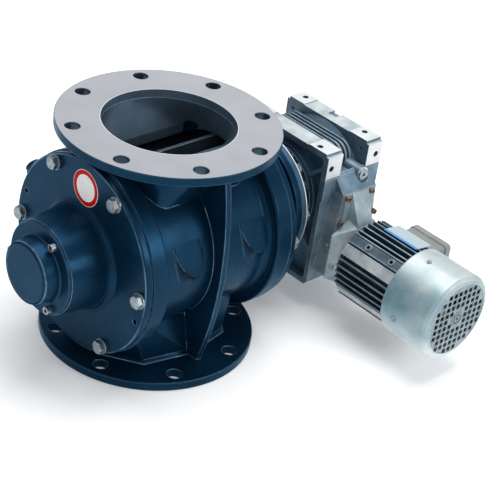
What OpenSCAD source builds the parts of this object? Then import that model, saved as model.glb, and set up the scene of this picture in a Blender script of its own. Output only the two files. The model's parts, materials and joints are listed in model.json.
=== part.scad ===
// Rotary airlock valve, nominal bore 200 mm, with a right-angle worm gearmotor.
// Frame: +Z up, X along the rotor axis (drive end at +X), motor axis along -Y.
// Origin: centre of the outlet flange's bottom face.

/* [Valve] */
// Height between the two flange faces
height = 370; // [366:1:376]
// Outside diameter of the flanges
flange_d = 340; // [334:1:350]
// Thickness of each flange
flange_t = 14; // [12:1:16]
// Bolt circle of the flanges
bolt_pcd = 295; // [293:1:297]
// Diameter of the flange bolt holes
bolt_hole_d = 24; // [20:1:26]
// Diameter of the inlet and outlet openings
throat_d = 204; // [196:1:208]
// Number of rotor vanes
vane_n = 8; // [6:1:10]
// Thickness of a rotor vane
vane_t = 6; // [4:0.5:9]
// Diameter of the rotor over its vane tips
rotor_d = 256; // [252:0.5:256]
// Clearance between vane tip and housing, on the radius
tip_gap = 0.2; // [0.1:0.05:0.4]
// Diameter of the end covers
cover_d = 310; // [306:1:312]
// Bolt circle of the end cover bolts
cover_pcd = 283; // [281:1:285]

/* [Gearbox] */
// Outside diameter of the drive flange
drive_flange_d = 220; // [212:1:226]
// Distance between output axis and worm axis
centre_dist = 75; // [75:1:75]
// Module of the worm gear pair
gear_module = 3.5; // [3.5:0.5:3.5]
// Number of worm wheel teeth
wheel_teeth = 30; // [30:1:30]
// Pitch diameter of the worm
worm_pitch_d = 45; // [45:1:45]
// Phase of the worm thread against the wheel
worm_phase = 90; // [85:1:95]

/* [Motor] */
// Radius over the cooling fins
fin_r = 69.5; // [67:0.5:71]
// Angle between neighbouring fins
fin_pitch = 9.47; // [8:0.01:12]
// Radius of the fan cowl
cowl_r = 74; // [73.5:0.5:75]
// Pitch of the square holes in the cowl grille
grille_pitch = 11.45; // [10:0.05:13]
// Side of one square hole in the grille
grille_hole = 7.8; // [4:0.1:8.6]

/* [Hidden] */
$fn = 64;

navy = [0.06, 0.17, 0.29];
steel = [0.74, 0.75, 0.76];
alu = [0.66, 0.71, 0.75];

axis_z = height / 2;
bore_r = rotor_d / 2 + tip_gap;
vent_t = 22;           // angle of the vent boss from +Y toward +Z
body_r = 136;
ring_r = 157;
ring_in = 108;
face_x = 137;          // machined end faces of the barrel
cover_in = 138;        // inner face of a cover, on its gasket
cover_out = 150;
bolt_r = cover_pcd / 2;

gx = 319;              // middle plane of the worm wheel, and the worm's axis
wz = axis_z - centre_dist;
mx = 319;              // motor axis
mz = 110;

// ---------- placing helpers ----------
// cylinder along X about the rotor axis
module xc(x0, x1, r, r2 = undef, y = 0, z = axis_z, fn = 96)
  translate([x0, y, z]) rotate([0, 90, 0])
    cylinder(h = x1 - x0, r1 = r, r2 = is_undef(r2) ? r : r2, $fn = fn);
// ring along X
module xr(x0, x1, ri, ro, y = 0, z = axis_z)
  difference() { xc(x0, x1, ro, y = y, z = z); xc(x0 - 1, x1 + 1, ri, y = y, z = z); }
// cylinder along Y
module yc(y0, y1, r, x = gx, z = wz, fn = 96)
  translate([x, y0, z]) rotate([-90, 0, 0]) cylinder(h = y1 - y0, r = r, $fn = fn);
module yr(y0, y1, ri, ro, x = gx, z = wz)
  difference() { yc(y0, y1, ro, x, z); yc(y0 - 1, y1 + 1, ri, x, z); }
module zc(z0, z1, r, x = 0, y = 0, fn = 96)
  translate([x, y, z0]) cylinder(h = z1 - z0, r = r, $fn = fn);
module box(x0, x1, y0, y1, z0, z1)
  translate([x0, y0, z0]) cube([x1 - x0, y1 - y0, z1 - z0]);
// children at n places round the rotor axis, angle from +Y toward +Z
module round_x(n, r, phase = 0, x = 0, z = axis_z)
  for (k = [0:n - 1]) let (t = phase + 360 * k / n)
    translate([x, r * cos(t), z + r * sin(t)]) children();
// children at n places round the motor axis, angle from -X toward +Z
module round_y(n, r, phase = 0, y = 0, x = mx, z = mz)
  for (k = [0:n - 1]) let (u = phase + 360 * k / n)
    translate([x - r * cos(u), y, z + r * sin(u)]) children();
// drawing in the YZ plane pushed along +X
module yz(x0, len) translate([x0, 0, 0]) rotate([90, 0, 90]) linear_extrude(len) children();
// drawing in the XZ plane pushed along -Y
module xz(y0, len) translate([0, y0, 0]) rotate([90, 0, 0]) linear_extrude(len) children();
// outer corner cutter and inner corner fillet, in the drawing plane
module corner_cut(r) difference() { square(r + 0.01); circle(r, $fn = 48); }
module fillet2(r) difference() { square(r); translate([r, r]) circle(r, $fn = 48); }
module round_box2(x0, x1, y0, y1, r) difference() {
  translate([x0, y0]) square([x1 - x0, y1 - y0]);
  translate([x1 - r, y1 - r]) corner_cut(r);
  translate([x0 + r, y1 - r]) mirror([1, 0]) corner_cut(r);
  translate([x1 - r, y0 + r]) mirror([0, 1]) corner_cut(r);
  translate([x0 + r, y0 + r]) rotate(180) corner_cut(r);
}
// hexagon head pointing +X with a chamfered crown
module hex_head(af, h) intersection() {
  rotate([0, 90, 0]) cylinder(h = h, d = af / cos(30), $fn = 6);
  rotate([0, 90, 0]) union() {
    cylinder(h = h - af * 0.09, d = af * 1.2, $fn = 48);
    translate([0, 0, h - af * 0.09]) cylinder(h = af * 0.09, d1 = af * 1.2, d2 = af * 0.96, $fn = 48);
  }
}
// socket screw: head toward +X, shank toward -X
module socket_screw(d, len) difference() {
  union() {
    rotate([0, 90, 0]) cylinder(h = d, r = d * 0.76, $fn = 48);
    translate([-len, 0, 0]) rotate([0, 90, 0]) cylinder(h = len, r = d / 2, $fn = 32);
  }
  translate([d * 0.4, 0, 0]) rotate([0, 90, 0]) cylinder(h = d, r = d * 0.46, $fn = 6);
}

// ---------- valve ----------
module barrel_profile() {
  // drawn with the radius to the right and the rotor axis upward
  difference() {
    union() {
      translate([0, -face_x]) square([body_r, 2 * face_x]);
      for (m = [0, 1]) mirror([0, m]) {
        translate([0, ring_in]) square([ring_r, face_x - ring_in]);
        translate([body_r, ring_in]) mirror([0, 1]) polygon([[-1, -1], [7, -1], [7, 0], [2.2, 2.2], [0, 7], [-1, 7]]);
      }
    }
    for (m = [0, 1]) mirror([0, m]) {
      translate([ring_r - 4, ring_in + 4]) mirror([0, 1]) corner_cut(4);
      translate([ring_r - 2, face_x - 2]) corner_cut(2);
    }
  }
}
// tapering tongue, flat face tilted upward, fading into the barrel at its top
module side_pad(x, side) mirror([0, side, 0])
  translate([x, 0, axis_z]) rotate([-24, 0, 0]) translate([0, 15 - body_r, 0])
    rotate([90, 0, 0]) linear_extrude(15) polygon([[-25, 4], [-25, 0], [-22.4, -13], [-18, -26],
      [-12.5, -36.5], [-5.5, -43.5], [3, -47], [12, -47], [19, -44], [24, -38], [26, -30], [26, 4]]);
module rib_shape() intersection() {
  translate([590 - 154.5, axis_z + 8]) circle(590, $fn = 200);
  translate([154.5 - 590, axis_z + 8]) circle(590, $fn = 200);
  translate([-180, 6]) square([360, height - 12]);
}
module inlet_neck() hull() {
  zc(height - flange_t - 3, height - flange_t + 1, 115, fn = 56);
  box(-84, 84, -82.5, 82.5, 268, 291);
  box(-127, 127, -12, 82.5, 289, 300);
}
module outlet_neck() hull() {
  translate([0, 0, flange_t - 1]) linear_extrude(4)
    for (s = [0, 1]) mirror([s, 0]) polygon([[-0.01, 105.6], [78.7, 89], [116, 36], [116, -36], [78.7, -89], [-0.01, -105.6]]);
  box(-99, 99, -83.5, 83.5, 80, 100);
}
module inlet_way() {
  hull() {
    zc(height - flange_t, height - flange_t + 0.5, throat_d / 2 - 1.2, fn = 56);
    for (s = [-1, 1]) {
      zc(305, 305.5, 20, x = s * 93, y = 56, fn = 32);
      box(s * 103 - 10, s * 103 + 10, -5, 3, 305, 305.5);
    }
  }
  box(-93, 93, -5, 76, 270, 305.4);
  box(-113, 113, -5, 56, 270, 305.4);
  for (s = [-1, 1]) zc(270, 305.4, 20, x = s * 93, y = 56, fn = 32);
}
module outlet_way() hull() {
  zc(flange_t - 0.5, flange_t, throat_d / 2 - 3.5, fn = 56);
  box(-91, 91, -76, 76, 88, 104);
}
module housing() color(navy) difference() {
  union() {
    translate([0, 0, axis_z]) rotate([0, 90, 0]) rotate_extrude($fn = 128) barrel_profile();
    for (z = [0, height - flange_t]) translate([0, 0, z])
      rotate_extrude($fn = 128) difference() {
        square([flange_d / 2, flange_t]);
        translate([flange_d / 2 - 1.2, flange_t - 1.2]) corner_cut(1.2);
        translate([flange_d / 2 - 1.2, 1.2]) mirror([0, 1]) corner_cut(1.2);
      }
    inlet_neck();
    outlet_neck();
    yz(-5, 10) rib_shape();
    for (s = [0, 1]) { side_pad(-55, s); side_pad(75.5, s); }
    // vent boss on the free end ring
    translate([-122, 0, axis_z]) rotate([vent_t, 0, 0]) translate([0, 140, 0])
      rotate([-90, 0, 0]) cylinder(h = 27, r = 14.5, $fn = 48);
  }
  xc(-face_x - 1, face_x + 1, bore_r, fn = 160);
  zc(-1, flange_t, throat_d / 2);
  zc(height - flange_t, height + 1, throat_d / 2);
  inlet_way();
  outlet_way();
  for (k = [0:7]) rotate(22.5 + 45 * k) {
    zc(-1, flange_t + 1, bolt_hole_d / 2, x = bolt_pcd / 2, fn = 48);
    zc(height - flange_t - 1, height + 1, bolt_hole_d / 2, x = bolt_pcd / 2, fn = 48);
  }
  for (s = [-1, 1]) round_x(6, bolt_r, 0)
    xc(s > 0 ? face_x - 24 : -face_x - 1, s > 0 ? face_x + 1 : -face_x + 24, 6.05, z = 0, fn = 32);
  // threaded port in the vent boss
  translate([-122, 0, axis_z]) rotate([vent_t, 0, 0]) translate([0, 126, 0])
    rotate([-90, 0, 0]) cylinder(h = 60, r = 8.05, $fn = 48);
}
// bearing hub profile shared by both covers: radius to the right, outward upward
module cover_disc() difference() {
  square([cover_d / 2, cover_out - cover_in]);
  translate([cover_d / 2 - 4, cover_out - cover_in - 4]) corner_cut(4);
}
module end_cover_nde() color(navy) difference() {
  translate([-cover_in, 0, axis_z]) rotate([0, -90, 0]) rotate_extrude($fn = 128) {
    cover_disc();
    polygon([[0, 0], [80, 0], [80, 12], [78.9, 20], [72.8, 80], [0, 80]]);
    translate([79.6, 12]) fillet2(6);
  }
  xc(-151, -137, 32.5);                    // inner seal seat
  xc(-172, -150, 30);
  xc(-190, -172, 32.5);                    // outer seal seat
  xc(-219, -190, 45);                      // bearing seat
  xc(-200, -137, 23);
  round_x(6, bolt_r, 0) xc(-151, -137, 6.6, z = 0, fn = 32);
  for (t = [16.5, 196.5]) translate([0, bolt_r * cos(t), axis_z + bolt_r * sin(t)])
    xc(-151, -137, 4.3, z = 0, fn = 32);
  round_x(3, 62, 0) xc(-219, -200, 4.05, z = 0, fn = 32);
}
module end_cover_de() color(navy) difference() {
  translate([cover_in, 0, axis_z]) rotate([0, 90, 0]) rotate_extrude($fn = 128) {
    cover_disc();
    polygon([[0, 0], [81, 0], [81, 12], [72, 55], [0, 55]]);
    translate([80.2, 12]) fillet2(12);
    difference() {
      translate([0, 55]) square([drive_flange_d / 2, 13]);
      translate([drive_flange_d / 2 - 2, 57]) mirror([0, 1]) corner_cut(2);
    }
    translate([71.5, 55]) mirror([0, 1]) fillet2(6);
  }
  xc(137, 149, 32.5);
  xc(148, 168, 23);
  xc(156, 169, 32.5);
  xc(168, 207, 45);                        // bearing seat
  xc(191.4, 194.1, 47.05);                 // groove of the retaining ring
  xc(201, 207, 60.1);                      // spigot recess
  round_x(6, bolt_r, 0) xc(137, 151, 6.6, z = 0, fn = 32);
  for (t = [16.5, 196.5]) translate([0, bolt_r * cos(t), axis_z + bolt_r * sin(t)])
    xc(137, 151, 4.3, z = 0, fn = 32);
  round_x(8, 96, 42) xc(192, 207, 6.05, z = 0, fn = 32);
}
module cover_gaskets() color("black") for (s = [0, 1]) mirror([s, 0, 0])
  difference() {
    xr(face_x, cover_in, 130, 152.5);
    round_x(6, bolt_r, 0) xc(face_x - 1, cover_in + 1, 6.6, z = 0, fn = 32);
  }
module cover_bolts() color(steel) for (s = [0, 1]) mirror([s, 0, 0])
  round_x(6, bolt_r, 0, x = cover_out + 2.5) {
    rotate([k_turn(s), 0, 0]) hex_head(19, 8);
    translate([-35, 0, 0]) rotate([0, 90, 0]) cylinder(h = 35.01, r = 6, $fn = 32);
  }
function k_turn(s) = s == 0 ? 8 : 22;
module cover_washers() color(steel) for (s = [0, 1]) mirror([s, 0, 0])
  round_x(6, bolt_r, 0) xr(cover_out, cover_out + 2.5, 6.5, 12, z = 0);
module bearing_cap() color(navy) difference() {
  translate([-218, 0, axis_z]) rotate([0, -90, 0]) rotate_extrude($fn = 128) {
    difference() {
      union() {
        square([71.5, 4.3]);
        polygon([[0, 0], [51.3, 4], [47.5, 30], [0, 30]]);
        translate([51.2, 4.3]) fillet2(2);
        translate([0, -5]) square([44.9, 6]);
      }
      translate([47.6 - 6, 30 - 6]) corner_cut(6);
      translate([71.5 - 1.5, 4.3 - 1.5]) corner_cut(1.5);
    }
  }
  xc(-242, -212, 41);
  round_x(3, 62, 0) xc(-223, -217, 4.5, z = 0, fn = 32);
}
module bearing_cap_screws() color(steel) mirror([1, 0, 0])
  round_x(3, 62, 0, x = 222.3) socket_screw(8, 20);

// deep groove ball bearing parts, drawn with the radius to the right
module outer_ring2(ro, p, b, w) difference() {
  translate([p + b * 0.55, -w / 2]) square([ro - p - b * 0.55, w]);
  translate([p, 0]) circle(b + 0.35, $fn = 48);
}
module inner_ring2(ri, p, b, w) difference() {
  translate([ri, -w / 2]) square([p - b * 0.55 - ri, w]);
  translate([p, 0]) circle(b + 0.35, $fn = 48);
}
module balls(p, b, n) for (k = [0:n - 1]) rotate(360 * k / n) translate([p, 0, 0]) sphere(b, $fn = 32);
module at_x(x) translate([x, 0, axis_z]) rotate([0, 90, 0]) children();
module at_y(y, x = gx, z = wz) translate([x, y, z]) rotate([-90, 0, 0]) children();

module rotor_bearing_outer_rings() color(steel) for (x = [-201.5, 179.5]) at_x(x)
  rotate_extrude($fn = 96) outer_ring2(45, 32.5, 7.4, 23);
module rotor_bearing_inner_rings() color(steel) for (x = [-201.5, 179.5]) at_x(x)
  rotate_extrude($fn = 96) inner_ring2(20, 32.5, 7.4, 23);
module rotor_bearing_balls() color(steel) for (x = [-201.5, 179.5]) at_x(x) balls(32.5, 7.4, 8);
module shaft_seals() color([0.1, 0.1, 0.1])
  for (x = [-148.5, -188, 140, 157]) xr(x, x + 8, 22.56, 32.5);

module rotor() color([0.55, 0.57, 0.58]) difference() {
  yz(-137.4, 274.8) translate([0, axis_z]) {
    circle(37, $fn = 96);
    intersection() {
      circle(rotor_d / 2, $fn = 160);
      for (k = [0:vane_n - 1]) rotate(38.5 + 360 * k / vane_n)
        translate([30, -vane_t / 2]) square([110, vane_t]);
    }
  }
  xc(-138, 138, 25.02);
  box(-40, 40, -7.05, 7.05, axis_z + 18, axis_z + 28.1);
}
module rotor_shaft() color(steel) difference() {
  union() {
    xc(-236, -190, 20);
    xc(-190, -137.4, 22.5);
    xc(-137.4, 137.4, 25);
    xc(137.4, 168, 22.5);
    xc(168, 196, 20);
    xc(196, 366, 17.5);
  }
  xr(-215.7, -213.2, 18.5, 21);
  xr(191.2, 193.7, 18.5, 21);
  box(-40, 40, -7.05, 7.05, axis_z + 19.5, axis_z + 30);
  box(gx - 40, gx + 40, -5.05, 5.05, axis_z + 12.5, axis_z + 20);
  xc(330, 367, 6.05, fn = 32);
}
module shaft_keys() color(steel) {
  box(-39.5, 39.5, -7, 7, axis_z + 19.6, axis_z + 28);
  box(gx - 39.5, gx + 39.5, -5, 5, axis_z + 12.6, axis_z + 20.4);
}
module shaft_circlips() color([0.2, 0.2, 0.2]) {
  difference() { xr(-215.5, -213.4, 18.6, 24); box(-217, -212, -4, 4, axis_z - 26, axis_z); }
  difference() { xr(191.4, 193.5, 18.6, 24); box(190, 195, -4, 4, axis_z - 26, axis_z); }
}
module bore_circlip() color([0.2, 0.2, 0.2])
  difference() { xr(191.5, 194, 40.5, 46.9); box(190, 196, -6, 6, axis_z + 20, axis_z + 50); }
module vent_plug() color([0.35, 0.38, 0.4]) translate([-122, 0, axis_z]) rotate([vent_t, 0, 0])
  translate([0, 167, 0]) rotate([0, 0, 90]) difference() {
    union() {
      rotate([0, 90, 0]) cylinder(h = 6, r = 12.5, $fn = 48);
      translate([-22, 0, 0]) rotate([0, 90, 0]) cylinder(h = 22, r = 8, $fn = 48);
    }
    translate([1, 0, 0]) rotate([0, 90, 0]) cylinder(h = 9, r = 5.5, $fn = 6);
  }
module round_label() color("white") xc(-cover_out - 0.5, -cover_out, 28.4, y = -2, z = axis_z + 114.6);

// ---------- gearbox ----------
module gearbox_flange() color(alu) difference() {
  union() {
    xc(201.5, 206, 60);
    translate([206, 0, axis_z]) rotate([0, 90, 0]) rotate_extrude($fn = 128) difference() {
      square([drive_flange_d / 2, 11]);
      translate([drive_flange_d / 2 - 1, 10]) corner_cut(1);
      translate([drive_flange_d / 2 - 1, 1]) mirror([0, 1]) corner_cut(1);
    }
    xc(216, 255, 66, 60);
    xc(254, 262, 77);
    xc(262, 300, 61);
    for (k = [0:7]) rotate_about_axis(19.5 + 45 * k) box(217, 254, 58, 74, axis_z - 3, axis_z + 3);
  }
  yc(-62, 62, 27.5);                       // room for the worm
  xc(201, 277, 26);
  xc(276, 285, 32.5);
  xc(284, 301, 40);
  round_x(8, 96, 42) xc(205, 218, 6.6, z = 0, fn = 32);
  round_x(6, 70, 30) xc(253, 263, 3.3, z = 0, fn = 32);
  round_x(6, 70, 30) xc(240, 254, 6.2, z = 0, fn = 32);
}
module rotate_about_axis(t) translate([0, 0, axis_z]) rotate([t, 0, 0]) translate([0, 0, -axis_z]) children();
module gearbox_flange_bolts() color(steel) round_x(8, 96, 42, x = 219.5) {
  rotate([12, 0, 0]) hex_head(19, 8);
  translate([-24, 0, 0]) rotate([0, 90, 0]) cylinder(h = 24.01, r = 6, $fn = 32);
}
module gearbox_flange_washers() color(steel) round_x(8, 96, 42) xr(217, 219.5, 6.5, 12, z = 0);

module plate_shape(m = 0) difference() {
  translate([-98.5 + m, 45 + m]) square([187 - 2 * m, 242.5 - 2 * m]);
  for (y = [-98.5 + m, 88.5 - m]) for (z = [45 + m, 287.5 - m])
    translate([y, z]) rotate(45) square(9.5 - m * 0.4, center = true);
}
module case_pads(x0) {
  box(x0, x0 + 33, -94.5, -54, 280, 289);
  box(x0, x0 + 33, 52, 84.5, 280, 289);
  box(x0, x0 + 33, -100, -90, 245, 284);
  box(x0, x0 + 33, 80, 90, 245, 284);
}
module fin_shape(m = 0) difference() {
  translate([-75 + m, 170]) square([150 - 2 * m, 107 - m]);
  translate([75 - m - 24, 277 - m - 24]) corner_cut(24);
  translate([-75 + m + 24, 277 - m - 24]) mirror([1, 0]) corner_cut(24);
}
module gear_case() color(alu) difference() {
  union() {
    difference() {
      union() {
        yz(256, 33) plate_shape();
        yz(348, 33) plate_shape();
      }
      yz(255, 20) plate_shape(9);
      yz(362, 20) plate_shape(9);
    }
    case_pads(256);
    case_pads(348);
    // cover seats and web ribs inside the two recesses
    xc(262, 290, 78);
    xc(347, 372, 78);
    for (t = [40, 140, 222, 318]) let (reach = cos(t) > 0 ? 111 : 121) rotate_about_axis(t) {
      box(258, 280, 77.5, reach, axis_z - 3, axis_z + 3);
      box(357, 379, 77.5, reach, axis_z - 3, axis_z + 3);
    }
    // drum and fins between the plates
    xc(288, 349, 82);
    yz(288, 61) fin_shape(10);
    for (x = [298:9:334]) yz(x, 3.6) fin_shape();
    xc(334, 349, 84, 100);
    // worm housing and front wall
    box(288, 349, -98.5, 90, 52, 150);
    box(288, 349, -98.5, -70, 52, 240);
    // sloping deck over the input cover
    yz(256, 125) polygon([[-95, 205], [-95, 247], [-100.5, 243], [-100.5, 205]]);
    yz(281, 76) polygon([[-98, 220.2], [-98, 244], [-100.5, 243.5], [-121.8, 220.2]]);
    // machined face for the input cover
    xz(-90, 10.6) cover_outline();
    // level plug boss
    yc(-108, -70, 12.5, x = 335.1, z = 238.6, fn = 48);
    yc(60, 93, 14.4, x = gx, z = 230, fn = 48);
    yc(85, 93, 13, x = 290, z = 60, fn = 48);
    yc(60, 93, 44, x = gx, z = wz);
  }
  xc(255, 382, 61.05);                     // wheel bore
  yc(-102, 94, 31.05);                     // worm bore
  round_x(6, 70, 30) { xc(261, 276, 3.05, z = 0, fn = 32); xc(358, 373, 3.05, z = 0, fn = 32); }
  for (x = [266, 368.5]) {
    for (y = [-69, 69]) zc(266, 290, 5.1, x = x, y = y, fn = 32);
    yc(-101, -80, 5.1, x = x, z = 263, fn = 32);
    yc(70, 91, 5.1, x = x, z = 263, fn = 32);
  }
  for (y = [-83, 75]) for (z = [270, 64]) xc(255, 382, 3.6, y = y, z = z, fn = 32);
  box(364, 382, -7, 11, 283, 290);
  for (p = input_screw_places()) yc(-101, -84, 3.05, x = p[0], z = p[1], fn = 32);
  for (k = [0:3]) let (t = 45 + 90 * k)
    yc(78, 94, 2.55, x = gx + 37.5 * cos(t), z = wz + 37.5 * sin(t), fn = 32);
  yc(-109, -91, 6.05, x = 335.1, z = 238.6, fn = 32);
  yc(-126, -108, 12.6, x = 335.1, z = 238.6, fn = 48);
  yc(76, 94, 6.05, x = gx, z = 230, fn = 32);
  yc(80, 94, 6.05, x = 290, z = 60, fn = 32);
}
function input_screw_places() = [[292, 213], [346, 213], [282.5, 170], [361, 170]];
module cover_outline() polygon([[281, 220], [357, 220], [371, 75], [366, 70], [272, 70], [266, 75]]);
module case_cover_screws() color(steel) {
  mirror([1, 0, 0]) round_x(6, 70, 30, x = -254) rotate([0, 0, 0]) socket_screw(6, 18);
  round_x(6, 70, 30, x = 379) socket_screw(6, 18);
  for (k = [0:3]) let (t = 45 + 90 * k)
    translate([gx + 37.5 * cos(t), 98, wz + 37.5 * sin(t)]) rotate([0, 0, 90]) socket_screw(5, 15);
}
module gear_cover() color(alu) difference() {
  union() { xc(337, 373, 61); xc(372, 379, 77); }
  yc(-62, 62, 27.5);                       // room for the worm
  xc(336, 353, 40);
  xc(352, 361, 32.5);
  xc(360, 380, 26);
  round_x(6, 70, 30) xc(371, 380, 3.3, z = 0, fn = 32);
}
// involute tooth outline for the worm wheel
function inv_pt(rb, a) = [rb * (cos(a) + a * PI / 180 * sin(a)), rb * (sin(a) - a * PI / 180 * cos(a))];
function inv_at(rb, r) = let (a = sqrt(pow(r / rb, 2) - 1) * 180 / PI, p = inv_pt(rb, a)) atan2(p[1], p[0]);
pitch_r = gear_module * wheel_teeth / 2;
base_r = pitch_r * cos(20);
tooth_half = 90 / wheel_teeth - 0.35;      // half tooth at the pitch circle, less backlash
wheel_r = [48.4, 49.6, 51, 52.5, 54, 55.4];
function flank_ang(r) = r <= base_r ? tooth_half + inv_at(base_r, pitch_r)
  : tooth_half + inv_at(base_r, pitch_r) - inv_at(base_r, r);
module wheel_shape() polygon([for (k = [0:wheel_teeth - 1]) let (c = 360 * k / wheel_teeth)
  each concat(
    [for (r = wheel_r) [r * cos(c - flank_ang(r)), r * sin(c - flank_ang(r))]],
    [for (i = [5:-1:0]) let (r = wheel_r[i]) [r * cos(c + flank_ang(r)), r * sin(c + flank_ang(r))]])]);
wheel_lead_ang = atan(gear_module / worm_pitch_d);
wheel_w = 30;
wheel_twist = tan(wheel_lead_ang) * wheel_w / pitch_r * 180 / PI;
module worm_wheel() color([0.72, 0.53, 0.25]) difference() {
  translate([gx, 0, axis_z]) rotate([90, 0, 90])
    rotate(-90) rotate(-wheel_twist / 2) translate([0, 0, -wheel_w / 2])
      linear_extrude(wheel_w, twist = -wheel_twist, slices = 4) wheel_shape();
  xc(gx - 20, gx + 20, 30.02);
}
module hollow_output_shaft() color(steel) difference() {
  union() {
    xc(262, 377, 25);
    xc(300.5, gx + 15, 30);
    xc(300.5, 303, 33);
  }
  xc(261, 378, 17.52);
  box(261, 378, -5.05, 5.05, axis_z + 12, axis_z + 20.6);
}
module output_bearing_outer_rings() color(steel) for (x = [292, 345]) at_x(x)
  rotate_extrude($fn = 96) outer_ring2(40, 32.5, 4.4, 16);
module output_bearing_inner_rings() color(steel) for (x = [292, 345]) at_x(x)
  rotate_extrude($fn = 96) inner_ring2(25, 32.5, 4.4, 16);
module output_bearing_balls() color(steel) for (x = [292, 345]) at_x(x) balls(32.5, 4.4, 10);
module output_seals() color([0.1, 0.1, 0.1]) for (x = [276.5, 353]) xr(x, x + 7, 25.06, 32.5);
module shaft_end_washer() color(steel) xr(377, 381, 6.5, 22);
module shaft_end_screw() color(steel) { translate([381, 0, axis_z]) socket_screw(12, 40); }

// worm thread section: radius as a function of the turn angle
worm_lead = PI * gear_module;
worm_out = 25.9;
worm_root = 18.4;
crest_half = (worm_lead / 4 - gear_module * tan(20) - 0.25) / worm_lead * 360;
root_half = (worm_lead / 4 + (22.5 - 18.4) * tan(20) - 0.25) / worm_lead * 360;
function worm_pts() = concat(
  [for (i = [0:5]) let (f = i / 5, a = -root_half + f * (root_half - crest_half), r = worm_root + f * (worm_out - worm_root)) [r * cos(a), r * sin(a)]],
  [for (a = [-crest_half / 2 : crest_half / 2 : crest_half / 2]) [worm_out * cos(a), worm_out * sin(a)]],
  [for (i = [5:-1:0]) let (f = i / 5, a = root_half - f * (root_half - crest_half), r = worm_root + f * (worm_out - worm_root)) [r * cos(a), r * sin(a)]],
  [for (i = [1:5]) let (a = root_half + i * (360 - 2 * root_half) / 6) [worm_root * cos(a), worm_root * sin(a)]]);
worm_len = 44;
module worm_shaft() color(steel) difference() {
  union() {
    at_y(-worm_len / 2) rotate(worm_phase)
      linear_extrude(worm_len, twist = -360 * worm_len / worm_lead, slices = 96, segments = 19) polygon(worm_pts());
    yc(-118, -worm_len / 2 + 0.01, 17.5);
    yc(worm_len / 2 - 0.01, 76, 17.5);
    yc(-76, -70, 20.5);
    yc(56, 62, 20.5);
  }
  yc(-119, -78, 9.55);
}
module worm_bearing_outer_rings() color(steel) for (y = [-83, 69]) at_y(y)
  rotate_extrude($fn = 96) outer_ring2(31, 24.25, 4.2, 14);
module worm_bearing_inner_rings() color(steel) for (y = [-83, 69]) at_y(y)
  rotate_extrude($fn = 96) inner_ring2(17.5, 24.25, 4.2, 14);
module worm_bearing_balls() color(steel) for (y = [-83, 69]) at_y(y) balls(24.25, 4.2, 9);
module worm_end_cap() color(alu) difference() {
  union() { yr(77, 94, 26, 31); yc(93, 98, 43); }
  for (k = [0:3]) let (t = 45 + 90 * k)
    yc(92, 99, 2.8, x = gx + 37.5 * cos(t), z = wz + 37.5 * sin(t), fn = 32);
}
module oil_plugs() color([0.8, 0.82, 0.84]) {
  translate([335.1, -108, 238.6]) rotate([0, 0, -90]) plug();
  translate([gx, 93, 230]) rotate([0, 0, 90]) plug();
  translate([290, 93, 60]) rotate([0, 0, 90]) plug();
}
module plug() difference() {
  union() {
    rotate([0, 90, 0]) cylinder(h = 3.2, r = 9.6, $fn = 48);
    translate([-12, 0, 0]) rotate([0, 90, 0]) cylinder(h = 12, r = 6, $fn = 32);
  }
  translate([-2, 0, 0]) rotate([0, 90, 0]) cylinder(h = 9, r = 3.4, $fn = 6);
}
module input_cover() color(alu) difference() {
  union() {
    xz(-100.6, 21.4) cover_outline();
    yr(-100.7, -91, 26, 31);
    // small cast boss on the side
    translate([274, -115.5, 125.5]) rotate([0, -90, 0]) cylinder(h = 6.5, r1 = 5, r2 = 4, $fn = 32);
  }
  yc(-123, -90, 18.5);
  yc(-111, -90, 26);
  for (p = input_screw_places()) {
    yc(-123, -100, 3.3, x = p[0], z = p[1], fn = 32);
  }
}
module input_cover_screws() color(steel) {
  for (p = input_screw_places()) translate([p[0], -122, p[1]]) rotate([0, 0, -90]) socket_screw(6, 34);
  // four more hold the adapter to the motor from inside
  for (k = [0:3]) let (u = 45 + 90 * k)
    translate([mx + 35 * cos(u), -138, mz + 35 * sin(u)]) rotate([0, 0, 90]) socket_screw(6, 16);
}
module input_seal() color([0.1, 0.1, 0.1]) yr(-111, -103, 17.56, 26);
// octagonal bell and the sloping hood above it
function oct(a, b, c, d) = [[-a, b], [-c, d], [c, d], [a, b], [a, -b], [c, -d], [-c, -d], [-a, -b]];
module motor_adapter() color(alu) difference() {
  union() {
    hull() {
      translate([mx, 0, mz]) xz(-122, 2) polygon(oct(50.5, 40.5, 18, 60.5));
      translate([mx, 0, mz]) xz(-145, 2) polygon(oct(37.5, 22.5, 10.5, 55));
    }
    hull() {
      box(302, 340, -123, -122, 150, 218);
      box(305, 337, -147, -146, 146, 163);
    }
    yc(-147, -122, 34, x = mx, z = mz);
    box(270, 284, -134.5, -125.5, 89, 99.5);
  }
  yc(-148, -121, 24, x = mx, z = mz);
  for (k = [0:3]) let (u = 45 + 90 * k) {
    yc(-138, -121, 5.6, x = mx + 35 * cos(u), z = mz + 35 * sin(u), fn = 32);
    yc(-148, -121, 3.3, x = mx + 35 * cos(u), z = mz + 35 * sin(u), fn = 32);
  }
}

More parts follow.
